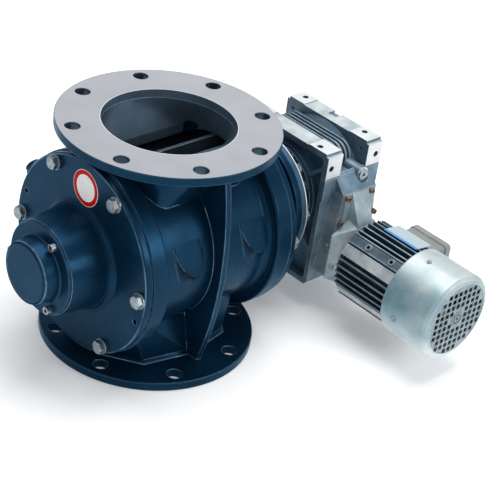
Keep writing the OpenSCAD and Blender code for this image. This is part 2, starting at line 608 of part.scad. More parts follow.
// ---------- motor ----------
function fin_free(u) = let (a = abs(u > 180 ? u - 360 : u), b = a > 90 ? 180 - a : a)
  !(b > 23 && b < 62) && !(abs(u - 180) < 32);
module motor_frame() color([0.27, 0.32, 0.37]) difference() {
  union() {
    yr(-268, -157, 50, 58, x = mx, z = mz);
    for (k = [0:37]) let (u = 0.4 + fin_pitch * k) if (fin_free(u))
      translate([mx, 0, mz]) rotate([0, u - 180, 0])
        box(56, fin_r, -267.9, -157.1, -1.15, 1.15);
    // drilled pads and flat strips near the four corners
    for (s = [0, 1]) for (v = [0, 1]) translate([mx, 0, mz]) mirror([s, 0, 0]) mirror([0, 0, v]) {
      rotate([0, 34 - 180, 0]) box(54, 66.8, -267.9, -157.1, -9.8, 9.8);
      rotate([0, 52.5 - 180, 0]) box(54, 67.6, -267.9, -157.1, -7.2, 7.2);
      rotate([0, 45.5 - 180, 0]) box(60, 69.2, -267.9, -157.1, -1.1, 1.1);
      rotate([0, 60.3 - 180, 0]) box(60, 69.5, -267.9, -157.1, -1.1, 1.1);
      for (y = [-194, -244]) rotate([0, 52.5 - 180, 0])
        translate([64, y, 0]) rotate([0, 90, 0]) cylinder(h = 5, r = 6.2, $fn = 32);
    }
    // two posts under the rating plate
    for (y = [-252, -196]) translate([318, 0, 181.4]) rotate([0, 7, 0]) box(3, 35, y, y + 6, -12, -1);
    // seat of the terminal box
    box(mx + 50, 380, -240, -177, 80, 140);
  }
  yc(-269, -156, 50, x = mx, z = mz);
  for (s = [0, 1]) for (v = [0, 1]) translate([mx, 0, mz]) mirror([s, 0, 0]) mirror([0, 0, v])
    for (y = [-194, -244]) rotate([0, 52.5 - 180, 0])
      translate([55, y, 0]) rotate([0, 90, 0]) cylinder(h = 16, r = 3.05, $fn = 32);
  xc(mx + 40, 381, 12, y = -208.5, z = 110);
}
module motor_front_shield() color([0.62, 0.66, 0.69]) difference() {
  union() {
    yc(-157, -151, 57.5, x = mx, z = mz);
    yc(-152, -147, 41, x = mx, z = mz);
    yr(-163, -156, 40, 49.9, x = mx, z = mz);
    yc(-165, -156, 30, x = mx, z = mz);
  }
  yc(-166, -146, 11, x = mx, z = mz);
  yc(-166, -150, 23.5, x = mx, z = mz);
  for (k = [0:3]) let (u = 45 + 90 * k)
    yc(-156, -146, 3.05, x = mx + 35 * cos(u), z = mz + 35 * sin(u), fn = 32);
}
module motor_rear_shield() color([0.62, 0.66, 0.69]) difference() {
  union() {
    yc(-300, -268, 71.9, x = mx, z = mz);
    yr(-269, -262, 40, 49.9, x = mx, z = mz);
    yc(-270, -260, 30, x = mx, z = mz);
  }
  yc(-293, -259, 11, x = mx, z = mz);
  yc(-275, -259, 23.5, x = mx, z = mz);
  yr(-301, -276, 30, 66, x = mx, z = mz);
  yc(-301, -292, 31, x = mx, z = mz);
  for (k = [0:3]) let (u = -10 + 90 * k) translate([mx, -294, mz]) rotate([0, u - 180, 0])
    rotate([0, 90, 0]) translate([0, 0, 60]) cylinder(h = 14, r = 2.05, $fn = 24);
}
module stator() color([0.5, 0.5, 0.52]) yr(-245, -185, 40, 49.95, x = mx, z = mz);
module stator_windings() color([0.65, 0.35, 0.15]) for (y = [-184.9, -258])
  translate([mx, y, mz]) rotate([-90, 0, 0]) rotate_extrude($fn = 96)
    translate([41.5, 0]) square([7.4, 12.9]);
module motor_shaft() color(steel) difference() {
  union() {
    yc(-145, -80, 9.5, x = mx, z = mz);
    yc(-168, -145, 10, x = mx, z = mz);
    yc(-257, -168, 14, x = mx, z = mz);
    yc(-300, -257, 10, x = mx, z = mz);
    yc(-334, -300, 7, x = mx, z = mz);
  }
}
module motor_rotor_core() color([0.5, 0.5, 0.52]) yr(-247, -183, 14.02, 39.5, x = mx, z = mz);
module motor_bearing_outer_rings() color(steel) for (y = [-157, -268]) at_y(y, mx, mz)
  rotate_extrude($fn = 96) outer_ring2(23.5, 16.75, 3.6, 14);
module motor_bearing_inner_rings() color(steel) for (y = [-157, -268]) at_y(y, mx, mz)
  rotate_extrude($fn = 96) inner_ring2(10, 16.75, 3.6, 14);
module motor_bearing_balls() color(steel) for (y = [-157, -268]) at_y(y, mx, mz) balls(16.75, 3.6, 8);
module cooling_fan() color([0.12, 0.12, 0.13]) difference() {
  union() {
    yc(-332, -304, 13, x = mx, z = mz);
    yc(-311, -308.5, 58, x = mx, z = mz);
    for (k = [0:6]) translate([mx, 0, mz]) rotate([0, 360 * k / 7, 0])
      box(11, 57, -331, -309, -1.3, 1.3);
  }
  yc(-335, -302, 7.02, x = mx, z = mz);
}
module fan_cowl() color([0.78, 0.82, 0.85]) difference() {
  translate([mx, -266, mz]) rotate([90, 0, 0]) rotate_extrude($fn = 128) difference() {
    union() {
      difference() {
        square([cowl_r, 92.5]);
        translate([cowl_r - 9, 83.5]) corner_cut(9);
      }
      translate([0, 80]) square([64.5, 13.7]);
    }
    difference() {
      translate([-1, -1]) square([cowl_r - 0.5, 92]);
      translate([cowl_r - 1.5 - 7.5, 91 - 7.5]) corner_cut(7.5);
    }
    translate([0, 80]) square([62, 12]);
    difference() {
      translate([-1, 93]) square([63, 2]);
      difference() {                       // pressed disc in the middle of the grille
        translate([-2, 92]) square([14.5, 1.7]);
        translate([7, 93.1]) square([1.4, 1]);
      }
    }
  }
  for (i = [-6:6]) for (j = [-6:6])
    let (px = -3.5 + grille_pitch * i, pz = 1.5 + grille_pitch * j, q = sqrt(px * px + pz * pz))
      if (q < 58.5 && q > 15.5)
        translate([mx + px - grille_hole / 2, -362, mz + pz - grille_hole / 2]) cube([grille_hole, 12, grille_hole]);
  yc(-362, -350, 2.2, x = mx, z = mz, fn = 24);
  for (k = [0:3]) let (u = -10 + 90 * k) translate([mx, -294, mz]) rotate([0, u - 180, 0])
    rotate([0, 90, 0]) translate([0, 0, 70]) cylinder(h = 5, r = 2.2, $fn = 24);
}
module pan_screw(len) difference() {
  union() {
    rotate([0, 90, 0]) cylinder(h = 2.4, r1 = 4.4, r2 = 3.6, $fn = 32);
    translate([-len, 0, 0]) rotate([0, 90, 0]) cylinder(h = len + 0.1, r = 2, $fn = 24);
  }
  translate([1.2, -0.5, -5]) cube([3, 1, 10]);
}
module cowl_screws() color(steel) {
  for (k = [0:3]) let (u = -10 + 90 * k)
    translate([mx, -294, mz]) rotate([0, u - 180, 0]) translate([cowl_r, 0, 0]) pan_screw(11);
  // four more hold the lid of the terminal box
  box_corners() translate([421, 0, 0]) pan_screw(22);
}
module box_corners() for (y = [-239.5, -177.5]) for (z = [77.5, 142.5]) translate([0, y, z]) children();
module terminal_box() color([0.58, 0.58, 0.56]) difference() {
  union() {
    difference() {
      yzbox(380, 409, -247, -170, 70, 150, 6);
      yzbox(384, 410, -243, -174, 74, 146, 4);
    }
    box_corners() xc(382, 409, 5, z = 0, fn = 32);
  }
  xc(379, 386, 12, y = -208.5, z = 110);
  box_corners() xc(394, 410, 2.05, z = 0, fn = 24);
  translate([395, -208.5, 65]) cylinder(h = 12, r = 8.05, $fn = 32);
}
module yzbox(x0, x1, y0, y1, z0, z1, r) yz(x0, x1 - x0) round_box2(y0, y1, z0, z1, r);
module terminal_box_lid() color([0.58, 0.58, 0.56]) difference() {
  union() {
    difference() {
      yzbox(409, 421, -248.5, -168.5, 68.5, 151.5, 7);
      yzbox(408, 418, -243, -174, 74, 146, 4);
    }
    box_corners() xc(409, 419, 5, z = 0, fn = 32);
  }
  box_corners() xc(408, 422, 2.2, z = 0, fn = 24);
}
module cable_gland() color([0.15, 0.15, 0.16]) translate([395, -208.5, 0]) {
  difference() {
    union() {
      translate([0, 0, 62]) cylinder(h = 18, r = 8, $fn = 32);
      translate([0, 0, 64]) cylinder(h = 6, d = 24 / cos(30), $fn = 6);
      translate([0, 0, 54]) cylinder(h = 9.8, d = 22 / cos(30), $fn = 6);
      translate([0, 0, 49]) cylinder(h = 5.1, r1 = 8, r2 = 10.8, $fn = 32);
    }
    translate([0, 0, 40]) cylinder(h = 50, r = 4.5, $fn = 32);
  }
}
module rating_plate() color([0.85, 0.88, 0.9]) translate([318, 0, 181.4]) rotate([0, 7, 0]) box(0, 38, -256, -186, -1, 0);

housing();
end_cover_nde();
end_cover_de();
cover_gaskets();
cover_bolts();
cover_washers();
bearing_cap();
bearing_cap_screws();
rotor_bearing_outer_rings();
rotor_bearing_inner_rings();
rotor_bearing_balls();
shaft_seals();
rotor();
rotor_shaft();
shaft_keys();
shaft_circlips();
bore_circlip();
vent_plug();
round_label();
gearbox_flange();
gearbox_flange_bolts();
gearbox_flange_washers();
gear_case();
case_cover_screws();
gear_cover();
worm_wheel();
hollow_output_shaft();
output_bearing_outer_rings();
output_bearing_inner_rings();
output_bearing_balls();
output_seals();
shaft_end_washer();
shaft_end_screw();
worm_shaft();
worm_bearing_outer_rings();
worm_bearing_inner_rings();
worm_bearing_balls();
worm_end_cap();
oil_plugs();
input_cover();
input_cover_screws();
input_seal();
motor_adapter();
motor_frame();
motor_front_shield();
motor_rear_shield();
stator();
stator_windings();
motor_shaft();
motor_rotor_core();
motor_bearing_outer_rings();
motor_bearing_inner_rings();
motor_bearing_balls();
cooling_fan();
fan_cowl();
cowl_screws();
terminal_box();
terminal_box_lid();
cable_gland();
rating_plate();
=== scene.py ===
import json
import math

import bmesh
import bpy
from mathutils import Matrix, Vector


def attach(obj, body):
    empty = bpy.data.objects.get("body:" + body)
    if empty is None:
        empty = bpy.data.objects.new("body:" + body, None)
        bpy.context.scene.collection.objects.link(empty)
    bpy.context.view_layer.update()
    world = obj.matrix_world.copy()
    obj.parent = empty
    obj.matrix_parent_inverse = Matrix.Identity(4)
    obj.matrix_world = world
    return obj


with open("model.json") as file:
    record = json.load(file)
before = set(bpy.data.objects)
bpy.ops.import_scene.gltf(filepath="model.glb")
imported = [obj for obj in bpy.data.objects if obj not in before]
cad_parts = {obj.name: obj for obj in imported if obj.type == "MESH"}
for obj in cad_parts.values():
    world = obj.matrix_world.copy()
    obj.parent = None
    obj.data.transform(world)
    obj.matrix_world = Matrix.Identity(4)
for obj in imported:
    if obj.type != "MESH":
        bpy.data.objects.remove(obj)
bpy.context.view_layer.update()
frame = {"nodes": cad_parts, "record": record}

NODES = frame["nodes"]
scene = bpy.context.scene
AX = 0.185                      # height of the rotor axis
GX, MZ = 0.319, 0.110           # motor axis
RIM_R = 0.1078                  # where the gearbox flange is turned bright
# radii of the painted highlight line on the cover rims
RIM_IN, RIM_OUT = 0.1520, 0.1538


# ------------------------------------------------------------------ camera
def make_camera():
    a, e, r = (math.radians(v) for v in (-47.2974, 31.5501, 8.8313))
    tx, ty, dist, f = -0.166961, -0.121139, 2.523179, 1581.128
    back = Vector((math.sin(a) * math.cos(e), -math.cos(a) * math.cos(e), math.sin(e)))
    fwd = -back
    right0 = fwd.cross(Vector((0, 0, 1))).normalized()
    up0 = right0.cross(fwd).normalized()
    rr = math.cos(r) * right0 + math.sin(r) * up0
    uu = -math.sin(r) * right0 + math.cos(r) * up0
    at = -(tx * rr + ty * uu + dist * fwd)
    data = bpy.data.cameras.new("view")
    cam = bpy.data.objects.new("view", data)
    scene.collection.objects.link(cam)
    cam.matrix_world = Matrix((
        (rr.x, uu.x, back.x, at.x), (rr.y, uu.y, back.y, at.y),
        (rr.z, uu.z, back.z, at.z), (0, 0, 0, 1)))
    data.sensor_width = 36
    data.lens = f / 500 * 36
    data.clip_start, data.clip_end = 0.05, 50
    scene.camera = cam


make_camera()


# --------------------------------------------------------------- materials
def srgb(r, g, b):
    def lin(c):
        c /= 255
        return c / 12.92 if c <= 0.04045 else ((c + 0.055) / 1.055) ** 2.4
    return (lin(r), lin(g), lin(b), 1.0)


class Mat:
    """A node material built up step by step."""

    def __init__(self, name, rough, metal=0.0, coat=0.0, spec=0.5, tint=None):
        self.m = bpy.data.materials.new(name)
        self.m.use_nodes = True
        self.t = self.m.node_tree
        self.t.nodes.clear()
        self.out = self.add("ShaderNodeOutputMaterial")
        self.p = self.add("ShaderNodeBsdfPrincipled")
        self.link(self.p.outputs[0], self.out.inputs[0])
        self.p.inputs["Metallic"].default_value = metal
        self.p.inputs["Roughness"].default_value = rough
        self.p.inputs["Coat Weight"].default_value = coat
        self.p.inputs["Coat Roughness"].default_value = 0.12
        self.p.inputs["Specular IOR Level"].default_value = spec
        if tint:
            self.p.inputs["Specular Tint"].default_value = tint
        tc = self.add("ShaderNodeTexCoord")
        self.obj, self.nor = tc.outputs["Object"], tc.outputs["Normal"]
        sep = self.add("ShaderNodeSeparateXYZ")
        self.link(self.obj, sep.inputs[0])
        self.x, self.y, self.z = sep.outputs
        sn = self.add("ShaderNodeSeparateXYZ")
        self.link(self.nor, sn.inputs[0])
        self.nx, self.ny, self.nz = sn.outputs

    def add(self, kind):
        return self.t.nodes.new(kind)

    def link(self, a, b):
        self.t.links.new(a, b)

    def put(self, value, socket):
        if isinstance(value, (int, float)):
            socket.default_value = value
        elif isinstance(value, tuple):
            socket.default_value = value
        else:
            self.link(value, socket)

    def math(self, op, a, b=0.0, c=None, clamp=False):
        n = self.add("ShaderNodeMath")
        n.operation, n.use_clamp = op, clamp
        self.put(a, n.inputs[0])
        self.put(b, n.inputs[1])
        if c is not None:
            self.put(c, n.inputs[2])
        return n.outputs[0]

    def both(self, *m):
        out = m[0]
        for k in m[1:]:
            out = self.math("MULTIPLY", out, k)
        return out

    def over(self, v, limit):
        return self.math("GREATER_THAN", v, limit)

    def under(self, v, limit):
        return self.math("LESS_THAN", v, limit)

    def within(self, v, a, b):
        return self.both(self.over(v, a), self.under(v, b))

    def radius(self, a, b, ca=0.0, cb=0.0):
        da, db = self.math("SUBTRACT", a, ca), self.math("SUBTRACT", b, cb)
        return self.math("SQRT", self.math("ADD", self.math("MULTIPLY", da, da), self.math("MULTIPLY", db, db)))

    def noise(self, scale, detail=3.0, rough=0.55, stretch=None):
        n = self.add("ShaderNodeTexNoise")
        n.inputs["Scale"].default_value = scale
        n.inputs["Detail"].default_value = detail
        n.inputs["Roughness"].default_value = rough
        if stretch:
            mp = self.add("ShaderNodeMapping")
            mp.inputs["Scale"].default_value = stretch
            self.link(self.obj, mp.inputs[0])
            self.link(mp.outputs[0], n.inputs["Vector"])
        else:
            self.link(self.obj, n.inputs["Vector"])
        return n.outputs[0]

    def ramp(self, value, stops):
        n = self.add("ShaderNodeValToRGB")
        e = n.color_ramp.elements
        while len(e) < len(stops):
            e.new(0.5)
        for k, (pos, col) in enumerate(stops):
            e[k].position, e[k].color = pos, col
        self.link(value, n.inputs[0])
        return n.outputs[0]

    def remap(self, value, a, b, lo, hi):
        n = self.add("ShaderNodeMapRange")
        self.link(value, n.inputs["Value"])
        for k, v in (("From Min", a), ("From Max", b), ("To Min", lo), ("To Max", hi)):
            n.inputs[k].default_value = v
        return n.outputs[0]

    def mix(self, fac, a, b):
        n = self.add("ShaderNodeMix")
        n.data_type = "RGBA"
        self.put(fac, n.inputs[0])
        self.put(a, n.inputs[6])
        self.put(b, n.inputs[7])
        return n.outputs[2]

    def rounding(self, r):
        """Softened normals along edges, and a mask that is 1 right on an edge."""
        bv = self.add("ShaderNodeBevel")
        bv.samples = 6
        bv.inputs["Radius"].default_value = r
        geo = self.add("ShaderNodeNewGeometry")
        dot = self.add("ShaderNodeVectorMath")
        dot.operation = "DOT_PRODUCT"
        self.link(bv.outputs[0], dot.inputs[0])
        self.link(geo.outputs["Normal"], dot.inputs[1])
        return bv.outputs[0], self.remap(dot.outputs["Value"], 0.995, 0.86, 0.0, 1.0)

    def bump(self, height, distance, strength=1.0, normal=None):
        n = self.add("ShaderNodeBump")
        n.inputs["Distance"].default_value = distance
        n.inputs["Strength"].default_value = strength
        self.link(height, n.inputs["Height"])
        if normal is not None:
            self.link(normal, n.inputs["Normal"])
        return n.outputs[0]

    def color(self, c):
        self.put(c, self.p.inputs["Base Color"])

    def rough(self, r):
        self.put(r, self.p.inputs["Roughness"])

    def normal(self, n):
        self.link(n, self.p.inputs["Normal"])


NAVY_LO, NAVY, NAVY_HI = srgb(7, 38, 58), srgb(12, 47, 71), srgb(22, 59, 86)
# edge colour: worn paint and a painted highlight
NAVY_EDGE = srgb(116, 150, 176)


def navy(name, grey_top=False, wear_and_highlight_strength=1.0, rim=False, hollow_shade=False):
    """Glossy navy paint over a casting: orange peel, slow tone changes, edges lightened as worn-thin paint and as a
    painted highlight.
    """
    m = Mat(name, 0.36, metal=0.5, spec=0.16, tint=(0.5, 0.76, 1.0, 1.0))
    base = m.ramp(m.noise(7.0, 4.0), [(0.3, NAVY_LO), (0.5, NAVY), (0.72, NAVY_HI)])
    soft, edge = m.rounding(0.0026)
    # edges lightened: paint worn thin there, and a painted highlight
    edge_wear_and_highlight = m.both(edge, m.remap(m.noise(70.0, 4.0), 0.35, 0.65, 0.5 * wear_and_highlight_strength, wear_and_highlight_strength))
    rough = m.remap(m.noise(24.0, 3.0), 0.3, 0.7, 0.24, 0.38)
    height = m.math("ADD", m.noise(420.0, 2.0), m.math("MULTIPLY", m.noise(60.0, 3.0), 3.0))
    if grey_top:
        r = m.radius(m.x, m.y)
        top = m.both(m.over(m.z, 0.36985), m.over(m.nz, 0.9))
        grey = m.ramp(m.noise(16.0, 5.0), [(0.25, srgb(147, 148, 152)), (0.75, srgb(156, 157, 161))])
        inward = m.math("ADD", m.math("MULTIPLY", m.nx, m.x), m.math("MULTIPLY", m.ny, m.y))
        inside = m.both(m.under(inward, -0.00001), m.over(m.z, 0.28), m.under(m.z, 0.3695), m.under(r, 0.125))
        slate = m.ramp(m.noise(20.0, 4.0), [(0.3, srgb(62, 78, 92)), (0.7, srgb(78, 94, 108))])
        lip = m.both(top, m.within(r, 0.1018, 0.1030))
        walls = m.both(m.within(r, 0.1335, 0.1615), m.within(m.z, 0.3562, 0.36985), m.under(m.math("ABSOLUTE", m.nz), 0.5))
        col = m.mix(m.math("MAXIMUM", inside, walls), base, slate)
        keep = m.math("SUBTRACT", 1.0, m.math("MAXIMUM", top, m.within(r, 0.09, 0.1015)))
        col = m.mix(m.both(edge_wear_and_highlight, keep), col, NAVY_EDGE)
        col = m.mix(top, col, grey)
        col = m.mix(lip, col, srgb(206, 209, 214))
        rough = m.math("ADD", rough, m.math("MULTIPLY", m.math("MAXIMUM", top, inside), 0.3))
        m.put(m.math("MULTIPLY", m.math("SUBTRACT", 1.0, m.math("MAXIMUM", top, inside)), 0.5), m.p.inputs["Metallic"])
        rings = m.add("ShaderNodeTexWave")
        rings.wave_type, rings.rings_direction = "RINGS", "Z"
        rings.inputs["Scale"].default_value = 330.0
        rings.inputs["Distortion"].default_value = 0.4
        m.link(m.obj, rings.inputs["Vector"])
        peel = m.bump(height, 0.00011, 0.35, soft)
        m.normal(m.bump(rings.outputs[1], 0.00003, 0.2, peel))
    else:
        if rim:
            # painted highlight line round the rim of the covers
            r = m.radius(m.y, m.z, 0.0, AX)
            painted_rim_highlight = m.both(m.within(r, RIM_IN, RIM_OUT), m.over(m.math("ABSOLUTE", m.x), 0.1482))
            edge_wear_and_highlight = m.math("MAXIMUM", edge_wear_and_highlight, m.both(painted_rim_highlight, m.remap(m.noise(16.0, 3.0), 0.35, 0.65, 0.1, 0.7)))
        if hollow_shade:
            # painted shade in the hollow beside each tongue: faces turned toward −X are darkened and their edge light
            # is eased
            shade = m.math("MAXIMUM", m.math("MINIMUM", m.remap(m.nx, -0.34, -0.05, 0.82, 0.0), 0.82), 0.0)
            base = m.mix(shade, base, srgb(4, 16, 30))
            edge_wear_and_highlight = m.math("MULTIPLY", edge_wear_and_highlight, m.math("SUBTRACT", 1.0, m.math("MULTIPLY", shade, 0.7)))
        col = m.mix(edge_wear_and_highlight, base, NAVY_EDGE)
        m.normal(m.bump(height, 0.00011, 0.35, soft))
    m.color(col)
    m.rough(rough)
    return m.m


def cast_alu(name, lo, mid, hi, bright=None, radius=0.0016, pocket_shade=None, metal=0.45, lit_tops_shaded_sides=False, side=0.0, shaded=None):
    """Sand-cast aluminium, fine grain; bright(m) masks where it has been machined. Edges get a painted highlight; the
    options paint light on upper faces, and shade on faces turned toward −X, on faces turned toward −Y and in recesses.
    """
    m = Mat(name, 0.5, metal=metal)
    base = m.ramp(m.noise(26.0, 6.0), [(0.28, lo), (0.5, mid), (0.74, hi)])
    soft, edge = m.rounding(radius)
    # painted highlight along the edges
    col = m.mix(m.both(edge, m.remap(m.noise(120.0, 3.0), 0.3, 0.7, 0.3, 0.9)), base, srgb(190, 202, 210))
    rough = m.remap(m.noise(40.0, 3.0), 0.3, 0.7, 0.42, 0.58)
    grain = m.bump(m.noise(900.0, 3.0, 0.7), 0.00022, 0.5, soft)
    if lit_tops_shaded_sides:
        # painted light on the upper faces, painted shade on faces turned toward −X
        lit = m.both(m.over(m.z, 0.2835), m.over(m.nz, 0.9))
        pale = m.ramp(m.noise(34.0, 5.0), [(0.3, srgb(150, 166, 172)), (0.7, srgb(204, 209, 208))])
        col = m.mix(lit, col, pale)
        col = m.mix(m.math("MULTIPLY", m.under(m.nx, -0.6), 0.5), col, srgb(44, 64, 82))
    if side:
        # painted shade on faces turned toward −X
        col = m.mix(m.math("MULTIPLY", m.under(m.nx, -0.6), side), col, srgb(30, 50, 70))
    if shaded:
        col = m.mix(m.math("MULTIPLY", m.both(m.under(m.x, shaded), m.under(m.ny, -0.5)), 0.6), col, srgb(46, 68, 88))
    if pocket_shade:
        # painted shade in the two recesses, eased off on their edges
        dark = m.ramp(m.noise(22.0, 5.0), [(0.3, srgb(62, 96, 122)), (0.7, srgb(92, 126, 150))])
        col = m.mix(m.math("MULTIPLY", pocket_shade(m), m.math("SUBTRACT", 1.0, m.math("MULTIPLY", edge, 0.6))), col, dark)
    if bright:
        mask = bright(m)
        cut = m.ramp(m.noise(60.0, 4.0, stretch=(1.0, 12.0, 12.0)), [(0.3, srgb(206, 210, 211)), (0.7, srgb(232, 235, 235))])
        col = m.mix(mask, col, cut)
        rough = m.math("SUBTRACT", rough, m.math("MULTIPLY", mask, 0.1))
    m.color(col)
    m.rough(rough)
    m.normal(grain)
    return m.m


def plain(name, lo, hi, rough=(0.4, 0.5), metal=0.0, scale=40.0, grain=(500.0, 0.0001, 0.3), edge=None, radius=0.0012,
          coat=0.0, stretch=None):
    m = Mat(name, rough[0], metal=metal, coat=coat)
    base = m.ramp(m.noise(scale, 4.0, stretch=stretch), [(0.3, lo), (0.7, hi)])
    soft, mask = m.rounding(radius)
    # painted highlight along the edges
    if edge:
        base = m.mix(m.both(mask, 0.85), base, edge)
    m.color(base)
    m.rough(m.remap(m.noise(scale * 1.7, 3.0), 0.3, 0.7, rough[0], rough[1]))
    m.normal(m.bump(m.noise(grain[0], 2.0, stretch=stretch), grain[1], grain[2], soft))
    return m.m


def machined_pads(m):
    """Top and front faces of the four mounting pads of the gear case."""
    top = m.both(m.over(m.z, 0.2885), m.over(m.nz, 0.9))
    front = m.both(m.under(m.y, -0.0992), m.under(m.ny, -0.9), m.over(m.z, 0.2435))
    rear = m.both(m.over(m.y, 0.0892), m.over(m.ny, 0.9), m.over(m.z, 0.2435))
    return m.math("MAXIMUM", top, m.math("MAXIMUM", front, rear))


def flange_rim(m):
    """Turned rim of the gearbox output flange."""
    return m.both(m.over(m.radius(m.y, m.z, 0.0, AX), RIM_R), m.over(m.x, 0.2146))


def case_pockets(m):
    """The two recesses in the sides of the gear case, where shade is painted."""
    inner = m.both(m.within(m.y, -0.0896, 0.0796), m.within(m.z, 0.0539, 0.2786))
    left, right = m.within(m.x, 0.2562, 0.2775), m.within(m.x, 0.3595, 0.3808)
    return m.math("MULTIPLY", inner, m.math("MAXIMUM", left, right))


def motor_paint(name):
    """Dark motor casting: fin tips are lighter, partly as wear and partly as a painted highlight; the flat strips
    between the fins are made light grey; edges get a painted highlight.
    """
    m = Mat(name, 0.5, metal=0.35)
    base = m.ramp(m.noise(30.0, 5.0), [(0.3, srgb(34, 52, 66)), (0.5, srgb(46, 65, 80)), (0.72, srgb(66, 86, 101))])
    soft, edge = m.rounding(0.0009)
    r = m.radius(m.x, m.z, GX, MZ)
    ang = m.math("ARCTAN2", m.math("ABSOLUTE", m.math("SUBTRACT", m.z, MZ)), m.math("ABSOLUTE", m.math("SUBTRACT", m.x, GX)))
    # lighter fin tips: partly wear, partly a painted highlight
    tip_wear_and_highlight = m.remap(r, 0.0672, 0.0696, 0.0, 1.0)
    light = m.ramp(m.noise(80.0, 4.0), [(0.3, srgb(98, 120, 132)), (0.7, srgb(142, 160, 168))])
    col = m.mix(m.both(tip_wear_and_highlight, m.remap(m.noise(45.0, 3.0), 0.3, 0.7, 0.55, 1.0)), base, light)
    flat = m.both(m.within(ang, math.radians(24.5), math.radians(43.5)), m.over(r, 0.0655))
    warm = m.ramp(m.noise(38.0, 5.0), [(0.3, srgb(148, 162, 168)), (0.7, srgb(206, 212, 212))])
    col = m.mix(flat, col, warm)
    # painted highlight along the edges
    col = m.mix(m.both(edge, 0.45), col, srgb(176, 190, 197))
    m.color(col)
    m.rough(m.remap(m.noise(40.0, 3.0), 0.3, 0.7, 0.42, 0.58))
    m.normal(m.bump(m.noise(800.0, 3.0, 0.7), 0.0002, 0.45, soft))
    return m.m


def cowl_paint(name):
    """Pressed steel fan cowl, blotchy from handling, with a painted highlight on the upper part, toward the bottom and
    along the edges.
    """
    m = Mat(name, 0.42, metal=0.35)
    base = m.ramp(m.noise(13.0, 5.0, 0.6), [(0.32, srgb(106, 143, 155)), (0.46, srgb(136, 164, 173)), (0.6, srgb(156, 177, 183)), (0.76, srgb(186, 196, 196))])
    soft, edge = m.rounding(0.0030)
    # painted highlight on the upper part of the cowl
    painted_top_highlight = m.remap(m.math("ADD", m.z, m.math("MULTIPLY", m.noise(18.0, 4.0), 0.05)), MZ + 0.07, MZ + 0.11, 0.0, 0.7)
    col = m.mix(m.math("MAXIMUM", m.math("MINIMUM", painted_top_highlight, 0.85), 0.0), base, srgb(214, 214, 208))
    # painted highlight toward the bottom of the cowl
    painted_low_highlight = m.remap(m.math("ADD", m.z, m.math("MULTIPLY", m.noise(22.0, 4.0), 0.05)), MZ + 0.012, MZ - 0.026, 0.0, 0.95)
    col = m.mix(m.math("MAXIMUM", m.math("MINIMUM", painted_low_highlight, 0.9), 0.0), col, srgb(220, 228, 230))
    r = m.radius(m.x, m.z, GX, MZ)
    end = m.both(m.under(m.y, -0.3575), m.under(r, 0.0622))
    grille = m.ramp(m.noise(50.0, 4.0), [(0.3, srgb(104, 122, 131)), (0.7, srgb(146, 160, 166))])
    col = m.mix(m.both(end, 0.85), col, grille)
    disc = m.both(end, m.under(r, 0.0126))
    col = m.mix(disc, col, srgb(118, 130, 136))
    col = m.mix(m.both(end, m.within(r, 0.0066, 0.0088)), col, srgb(70, 82, 90))
    # painted highlight along the edges, not on the grille end
    col = m.mix(m.both(edge, 0.5, m.math("SUBTRACT", 1.0, end)), col, srgb(214, 221, 224))
    m.color(col)
    m.rough(m.remap(m.noise(30.0, 4.0), 0.3, 0.7, 0.34, 0.52))
    m.normal(m.bump(m.math("ADD", m.noise(600.0, 2.0), m.math("MULTIPLY", m.noise(26.0, 3.0), 6.0)), 0.00009, 0.3, soft))
    return m.m


def label_material():
    m = Mat("label_print", 0.5, spec=0.1)
    r = m.radius(m.y, m.z, -0.002, 0.2996)
    rim = m.within(r, 0.0208, 0.0277)
    paper = m.ramp(m.noise(60.0), [(0.3, srgb(236, 236, 234)), (0.7, srgb(246, 246, 244))])
    m.color(m.mix(rim, paper, srgb(196, 2, 6)))
    m.normal(m.bump(m.noise(300.0), 0.00004, 0.2))
    return m.m


def plate_material():
    m = Mat("plate_print", 0.3, metal=0.25)
    sheet = m.ramp(m.noise(50.0, 4.0, stretch=(1, 14, 1)), [(0.3, srgb(172, 188, 196)), (0.7, srgb(192, 205, 211))])
    stripe = m.under(m.x, 0.3235)
    line = m.within(m.x, 0.3255, 0.3262)
    col = m.mix(stripe, sheet, srgb(72, 152, 214))
    col = m.mix(m.math("MULTIPLY", line, 0.6), col, srgb(150, 170, 182))
    m.color(col)
    m.normal(m.bump(m.noise(400.0), 0.00003, 0.2))
    return m.m


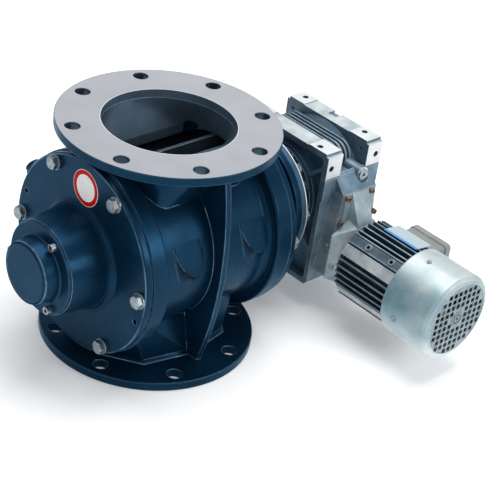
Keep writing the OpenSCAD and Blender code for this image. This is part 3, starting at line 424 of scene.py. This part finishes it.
M = {
    "navy": navy("navy_paint"),
    "navy_body": navy("navy_body_paint", grey_top=True),
    "navy_cover": navy("navy_cover_paint", rim=True),
    "navy_soft": navy("navy_blend_paint", wear_and_highlight_strength=0.0),
    "navy_tongue": navy("navy_tongue_paint", wear_and_highlight_strength=0.7, hollow_shade=True),
    "case": cast_alu("cast_aluminium_case", srgb(78, 102, 119), srgb(104, 128, 144), srgb(138, 160, 173), machined_pads, pocket_shade=case_pockets, lit_tops_shaded_sides=True),
    "alu": cast_alu("cast_aluminium", srgb(92, 112, 127), srgb(118, 138, 152), srgb(150, 169, 180), side=0.6),
    "alu_dark": cast_alu("cast_aluminium_dark", srgb(30, 60, 84), srgb(42, 76, 102), srgb(64, 98, 122), flange_rim),
    "alu_light": cast_alu("cast_aluminium_light", srgb(116, 134, 145), srgb(154, 169, 177), srgb(194, 204, 208), metal=0.35),
    "alu_cover": cast_alu("cast_aluminium_cover", srgb(116, 134, 145), srgb(154, 169, 177), srgb(194, 204, 208), metal=0.35, side=0.5, shaded=0.289),
    "motor": motor_paint("motor_casting"),
    "cowl": cowl_paint("cowl_sheet"),
    "zinc": plain("zinc_plate", srgb(112, 126, 132), srgb(160, 170, 175), (0.26, 0.4), 0.8, 160.0, (900.0, 0.00005, 0.25), srgb(214, 220, 222), 0.0008),
    "passivated": plain("passivated_screws", srgb(92, 78, 68), srgb(150, 128, 106), (0.3, 0.45), 0.8, 260.0, (900.0, 0.00005, 0.25), srgb(190, 170, 150), 0.0007),
    "steel": plain("ground_steel", srgb(150, 154, 158), srgb(184, 188, 191), (0.22, 0.34), 0.95, 120.0, (900.0, 0.00004, 0.2), srgb(210, 214, 216), 0.0006),
    "rotor": plain("rotor_steel", srgb(40, 52, 62), srgb(62, 76, 88), (0.38, 0.52), 0.4, 18.0, (500.0, 0.0001, 0.3), srgb(150, 164, 174), 0.0016),
    "bronze": plain("bronze", srgb(140, 100, 44), srgb(176, 132, 66), (0.3, 0.42), 0.9, 60.0, (500.0, 0.00006, 0.2), srgb(200, 160, 90), 0.0006),
    "rubber": plain("black_rubber", srgb(18, 19, 21), srgb(30, 32, 35), (0.55, 0.7), 0.0, 60.0, (700.0, 0.0001, 0.3)),
    "core": plain("core_steel", srgb(92, 94, 96), srgb(120, 122, 124), (0.45, 0.6), 0.7, 90.0, (1500.0, 0.0001, 0.4), stretch=(1, 30, 1)),
    "copper": plain("copper", srgb(150, 78, 40), srgb(186, 104, 58), (0.3, 0.42), 0.9, 120.0, (900.0, 0.0002, 0.5)),
    "plastic": plain("black_plastic", srgb(24, 26, 29), srgb(36, 38, 42), (0.42, 0.55), 0.0, 60.0, (900.0, 0.0001, 0.25)),
    "box": plain("terminal_box_paint", srgb(120, 123, 122), srgb(142, 145, 143), (0.42, 0.55), 0.1, 30.0, (600.0, 0.00012, 0.35), srgb(186, 189, 188), 0.0012),
    "label": label_material(),
    "plate": plate_material(),
}
BY_SLOT = {
    "housing_paint": "navy", "cast_aluminium": "alu", "motor_paint": "motor", "cowl_steel": "cowl",
    "zinc_steel": "zinc", "bearing_steel": "steel", "shaft_steel": "steel", "rotor_steel": "rotor",
    "bronze": "bronze", "seal_rubber": "rubber", "core_steel": "core", "copper": "copper",
    "fan_plastic": "plastic", "box_grey": "box", "label_white": "label",
}
BY_NODE = {
    "housing": "navy_body", "gear_case": "case", "rating_plate": "plate", "cable_gland": "plastic",
    "motor_adapter": "alu_light", "input_cover": "alu_cover", "gearbox_flange": "alu_dark",
    "vent_plug": "navy", "end_cover_nde": "navy_cover", "end_cover_de": "navy_cover", "input_cover_screws": "passivated",
}
for part in frame["record"]["subparts"]:
    node = part["node"]
    finish = M[BY_NODE.get(node) or BY_SLOT[part["material_slot"]]]
    data = NODES[node].data
    if data.materials:
        for k in range(len(data.materials)):
            data.materials[k] = finish
    else:
        data.materials.append(finish)


# ------------------------------------------------------------------ pieces
def piece(name, bm, finish, body, smooth=True, angle=35):
    me = bpy.data.meshes.new(name)
    bmesh.ops.remove_doubles(bm, verts=bm.verts, dist=1e-6)
    bmesh.ops.recalc_face_normals(bm, faces=bm.faces)
    bm.to_mesh(me)
    bm.free()
    me.materials.append(M[finish])
    o = bpy.data.objects.new(name, me)
    scene.collection.objects.link(o)
    if smooth:
        me.shade_smooth()
        me.set_sharp_from_angle(angle=math.radians(angle))
    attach(o, body)
    return o


def lathe(bm, profile, place, seg=96, closed=True):
    """profile: list of (radius, height); place(r, h, cos, sin) gives a point."""
    rings = []
    for k in range(seg):
        t = 2 * math.pi * k / seg
        rings.append([bm.verts.new(place(r, h, math.cos(t), math.sin(t))) for r, h in profile])
    n = len(profile)
    for k in range(seg):
        a, b = rings[k], rings[(k + 1) % seg]
        for i in range(n if closed else n - 1):
            j = (i + 1) % n
            bm.faces.new((a[i], b[i], b[j], a[j]))


def sweep(bm, profile, place, a0, a1, seg=64):
    """Like lathe, but only from angle a0 to a1 (degrees), with capped ends."""
    rings = []
    for k in range(seg + 1):
        t = math.radians(a0 + (a1 - a0) * k / seg)
        rings.append([bm.verts.new(place(r, h, math.cos(t), math.sin(t))) for r, h in profile])
    n = len(profile)
    for a, b in zip(rings, rings[1:]):
        for i in range(n):
            j = (i + 1) % n
            bm.faces.new((a[i], b[i], b[j], a[j]))
    bm.faces.new(rings[0])
    bm.faces.new(list(reversed(rings[-1])))


def along_z(x=0.0, y=0.0):
    return lambda r, h, c, s: (x + r * c, y + r * s, h)


def along_x(y=0.0, z=AX, sign=1):
    return lambda r, h, c, s: (h, y + r * c, z + r * s)


def along_y(x=GX, z=MZ):
    return lambda r, h, c, s: (x + r * c, h, z + r * s)


def arc(cr, ch, r, a0, a1, n=6):
    return [(cr + r * math.cos(math.radians(a0 + (a1 - a0) * k / n)), ch + r * math.sin(math.radians(a0 + (a1 - a0) * k / n)))
            for k in range(n + 1)]


# -------------------------------------------------------------- surroundings
def make_stage():
    bm = bmesh.new()
    z = 0.0
    bmesh.ops.create_grid(bm, x_segments=1, y_segments=1, size=14.0)
    me = bpy.data.meshes.new("floor")
    bm.to_mesh(me)
    bm.free()
    o = bpy.data.objects.new("floor", me)
    o.location = (0, 0, z - 0.0003)
    scene.collection.objects.link(o)
    m = bpy.data.materials.new("pale_floor")
    m.use_nodes = True
    p = m.node_tree.nodes["Principled BSDF"]
    p.inputs["Base Color"].default_value = (0.93, 0.93, 0.93, 1)
    p.inputs["Roughness"].default_value = 0.9
    p.inputs["Specular IOR Level"].default_value = 0.1
    p.inputs["Emission Color"].default_value = (1, 1, 1, 1)
    p.inputs["Emission Strength"].default_value = 0.17
    me.materials.append(m)
    w = bpy.data.worlds.new("studio")
    w.use_nodes = True
    scene.world = w
    bg = w.node_tree.nodes["Background"]
    bg.inputs[0].default_value = (0.93, 0.96, 1.0, 1)
    bg.inputs[1].default_value = 0.5

    def lamp(name, at, to, size, power, tint=(1, 1, 1)):
        d = bpy.data.lights.new(name, "AREA")
        d.shape, d.size, d.size_y = "RECTANGLE", size[0], size[1]
        d.energy, d.color = power, tint
        lo = bpy.data.objects.new(name, d)
        lo.location = at
        lo.rotation_euler = (Vector(to) - Vector(at)).to_track_quat("-Z", "Y").to_euler()
        scene.collection.objects.link(lo)
    lamp("overhead", (0.45, 0.1, 2.1), (0.1, 0, 0.2), (1.7, 1.7), 44)
    lamp("left_front", (-2.2, -0.9, 1.3), (0, 0, 0.2), (1.0, 1.4), 5, (0.95, 0.98, 1))
    lamp("right_front", (1.1, -2.3, 1.1), (0.2, 0, 0.15), (1.0, 1.0), 17)
    scene.view_settings.view_transform = "Standard"
    scene.view_settings.look = "None"
    scene.view_settings.exposure = 0.0


make_stage()

# fillets where the two necks meet their flanges
bm = bmesh.new()
lathe(bm, [(0.111, 0.3565), (0.111, 0.350)] + arc(0.1225, 0.3485, 0.0075, 180, 90), along_z(), 112)
piece("neck_fillet_top", bm, "navy", "root")
loop = [(0.116, 0.036), (0.0787, 0.089), (0.0, 0.1056), (-0.0787, 0.089), (-0.116, 0.036),
        (-0.116, -0.036), (-0.0787, -0.089), (0.0, -0.1056), (0.0787, -0.089), (0.116, -0.036)]


def follow(bm, loop, profile):
    """Sweep (outward offset, height) round a closed convex outline, corners mitred."""
    n, rows = len(loop), []
    for k in range(n):
        p, q, w = (Vector(loop[(k + d) % n]) for d in (-1, 0, 1))
        a, b = (q - p).normalized(), (w - q).normalized()
        na, nb = Vector((a.y, -a.x)), Vector((b.y, -b.x))
        if na.dot(q) < 0:
            na, nb = -na, -nb
        mid = (na + nb).normalized()
        mid = mid / mid.dot(na)
        rows.append([bm.verts.new((q.x + mid.x * o, q.y + mid.y * o, h)) for o, h in profile])
    m = len(profile)
    for k in range(n):
        a, b = rows[k], rows[(k + 1) % n]
        for i in range(m):
            j = (i + 1) % m
            bm.faces.new((a[i], b[i], b[j], a[j]))


bm = bmesh.new()
follow(bm, loop, [(-0.003, 0.0135), (-0.003, 0.020)] + arc(0.0064, 0.0204, 0.0065, 180, 270))
piece("neck_fillet_low", bm, "navy", "root")

# the four tongue pads: crowned edge, then a drafted skirt that runs out on the barrel
FACE = [(-25, 0), (-23.2, -11), (-19.6, -22), (-15, -32), (-9.5, -41), (-3, -48), (4, -51.6), (11, -52.4), (17.5, -50),
        (22.5, -45), (25.6, -38), (26.8, -28), (27, -14), (27, 0)]
FOOT = [(-26.6, 0), (-26, -14), (-24.4, -28), (-21.6, -41), (-17.8, -53), (-12.5, -62.5), (-5, -67.4), (6, -69), (16, -67),
        (23.5, -61), (28.4, -50), (30.4, -36), (30.4, -18), (29, 0)]
BARREL = 136.0


def barrel_depth(z, sink=0.0):
    return BARREL - math.sqrt(max((BARREL - sink) ** 2 - z * z, 1.0))


def tongue(bm, cx, side):
    t = math.radians(24)

    def put(u, w, depth):
        y = depth - BARREL
        yy, zz = y * math.cos(t) + w * math.sin(t), -y * math.sin(t) + w * math.cos(t)
        return bm.verts.new(((cx + u) / 1000, (-yy if side else yy) / 1000, AX + zz / 1000))

    n = len(FACE)
    mid = (1.0, -20.0)
    rows = []
    # rings from the middle of the face outward: (scale about the middle, depth below the face plane)
    for k, d in ((0.55, -0.25), (0.9, -0.25), (0.965, -0.05), (1.0, 0.75)):
        rows.append([(mid[0] + (u - mid[0]) * k, w if i in (0, n - 1) else mid[1] + (w - mid[1]) * k, d)
                     for i, (u, w) in enumerate(FACE)])
    for f in (0.12, 0.3, 0.5, 0.7, 0.86, 0.96, 1.0):
        row = []
        for (u, w), (p, q) in zip(FACE, FOOT):
            e = f + 0.10 * math.sin(math.pi * f)
            uu, ww = u + (p - u) * (f ** 1.5), w + (q - w) * (f ** 1.35)
            end = barrel_depth(q, -0.25)
            row.append((uu, ww, min(0.75 + (end - 0.75) * min(e, 1.0), barrel_depth(ww, -0.25))))
        rows.append(row)
    rows.append([(p * 1.02, q - 1.0 if q < -1 else q, barrel_depth(q, 2.0)) for p, q in FOOT])
    rows = [[put(*v) for v in row] for row in rows]
    c = put(mid[0], mid[1], -0.25)
    top = put(mid[0], 0.0, -0.25)
    for i in range(n - 1):
        bm.faces.new((c, rows[0][i], rows[0][i + 1]))
    bm.faces.new((c, top, rows[0][0]))
    bm.faces.new((c, rows[0][-1], top))
    for a, b in zip(rows, rows[1:]):
        for i in range(n - 1):
            bm.faces.new((a[i], b[i], b[i + 1], a[i + 1]))


bm = bmesh.new()
for cx in (-55, 75.5):
    for side in (0, 1):
        tongue(bm, cx, side)
# the dark hollow beside each tongue is painted shade in the navy_tongue material
piece("pad_tongues", bm, "navy_tongue", "root", angle=50)

# cast blends: end rings to barrel, hub to cover
bm = bmesh.new()
for sgn in (-1, 1):
    prof = [(0.1345, sgn * 0.1095), (0.1482, sgn * 0.1095)]
    prof += [(0.136 + 0.012 - 0.012 * math.sin(math.radians(a)), sgn * (0.096 + 0.012 * math.cos(math.radians(a))))
             for a in (0, 11, 22, 34, 45, 56, 68, 79, 90)]
    prof += [(0.1345, sgn * 0.0955)]
    sweep(bm, prof, along_x(), 118, 412, 150)
piece("ring_blends", bm, "navy_soft", "root", angle=50)
bm = bmesh.new()
prof = [(0.0775, -0.1492), (0.0775, -0.1592), (0.07955, -0.1592)]
prof += [(0.0886 - 0.009 * math.cos(math.radians(a)), -0.1591 + 0.009 * math.sin(math.radians(a)))
         for a in (5, 15, 27, 40, 53, 66, 78, 90)]
prof += [(0.0890, -0.1492)]
lathe(bm, prof, along_x(), 128)
piece("hub_blend", bm, "navy_soft", "root", angle=50)
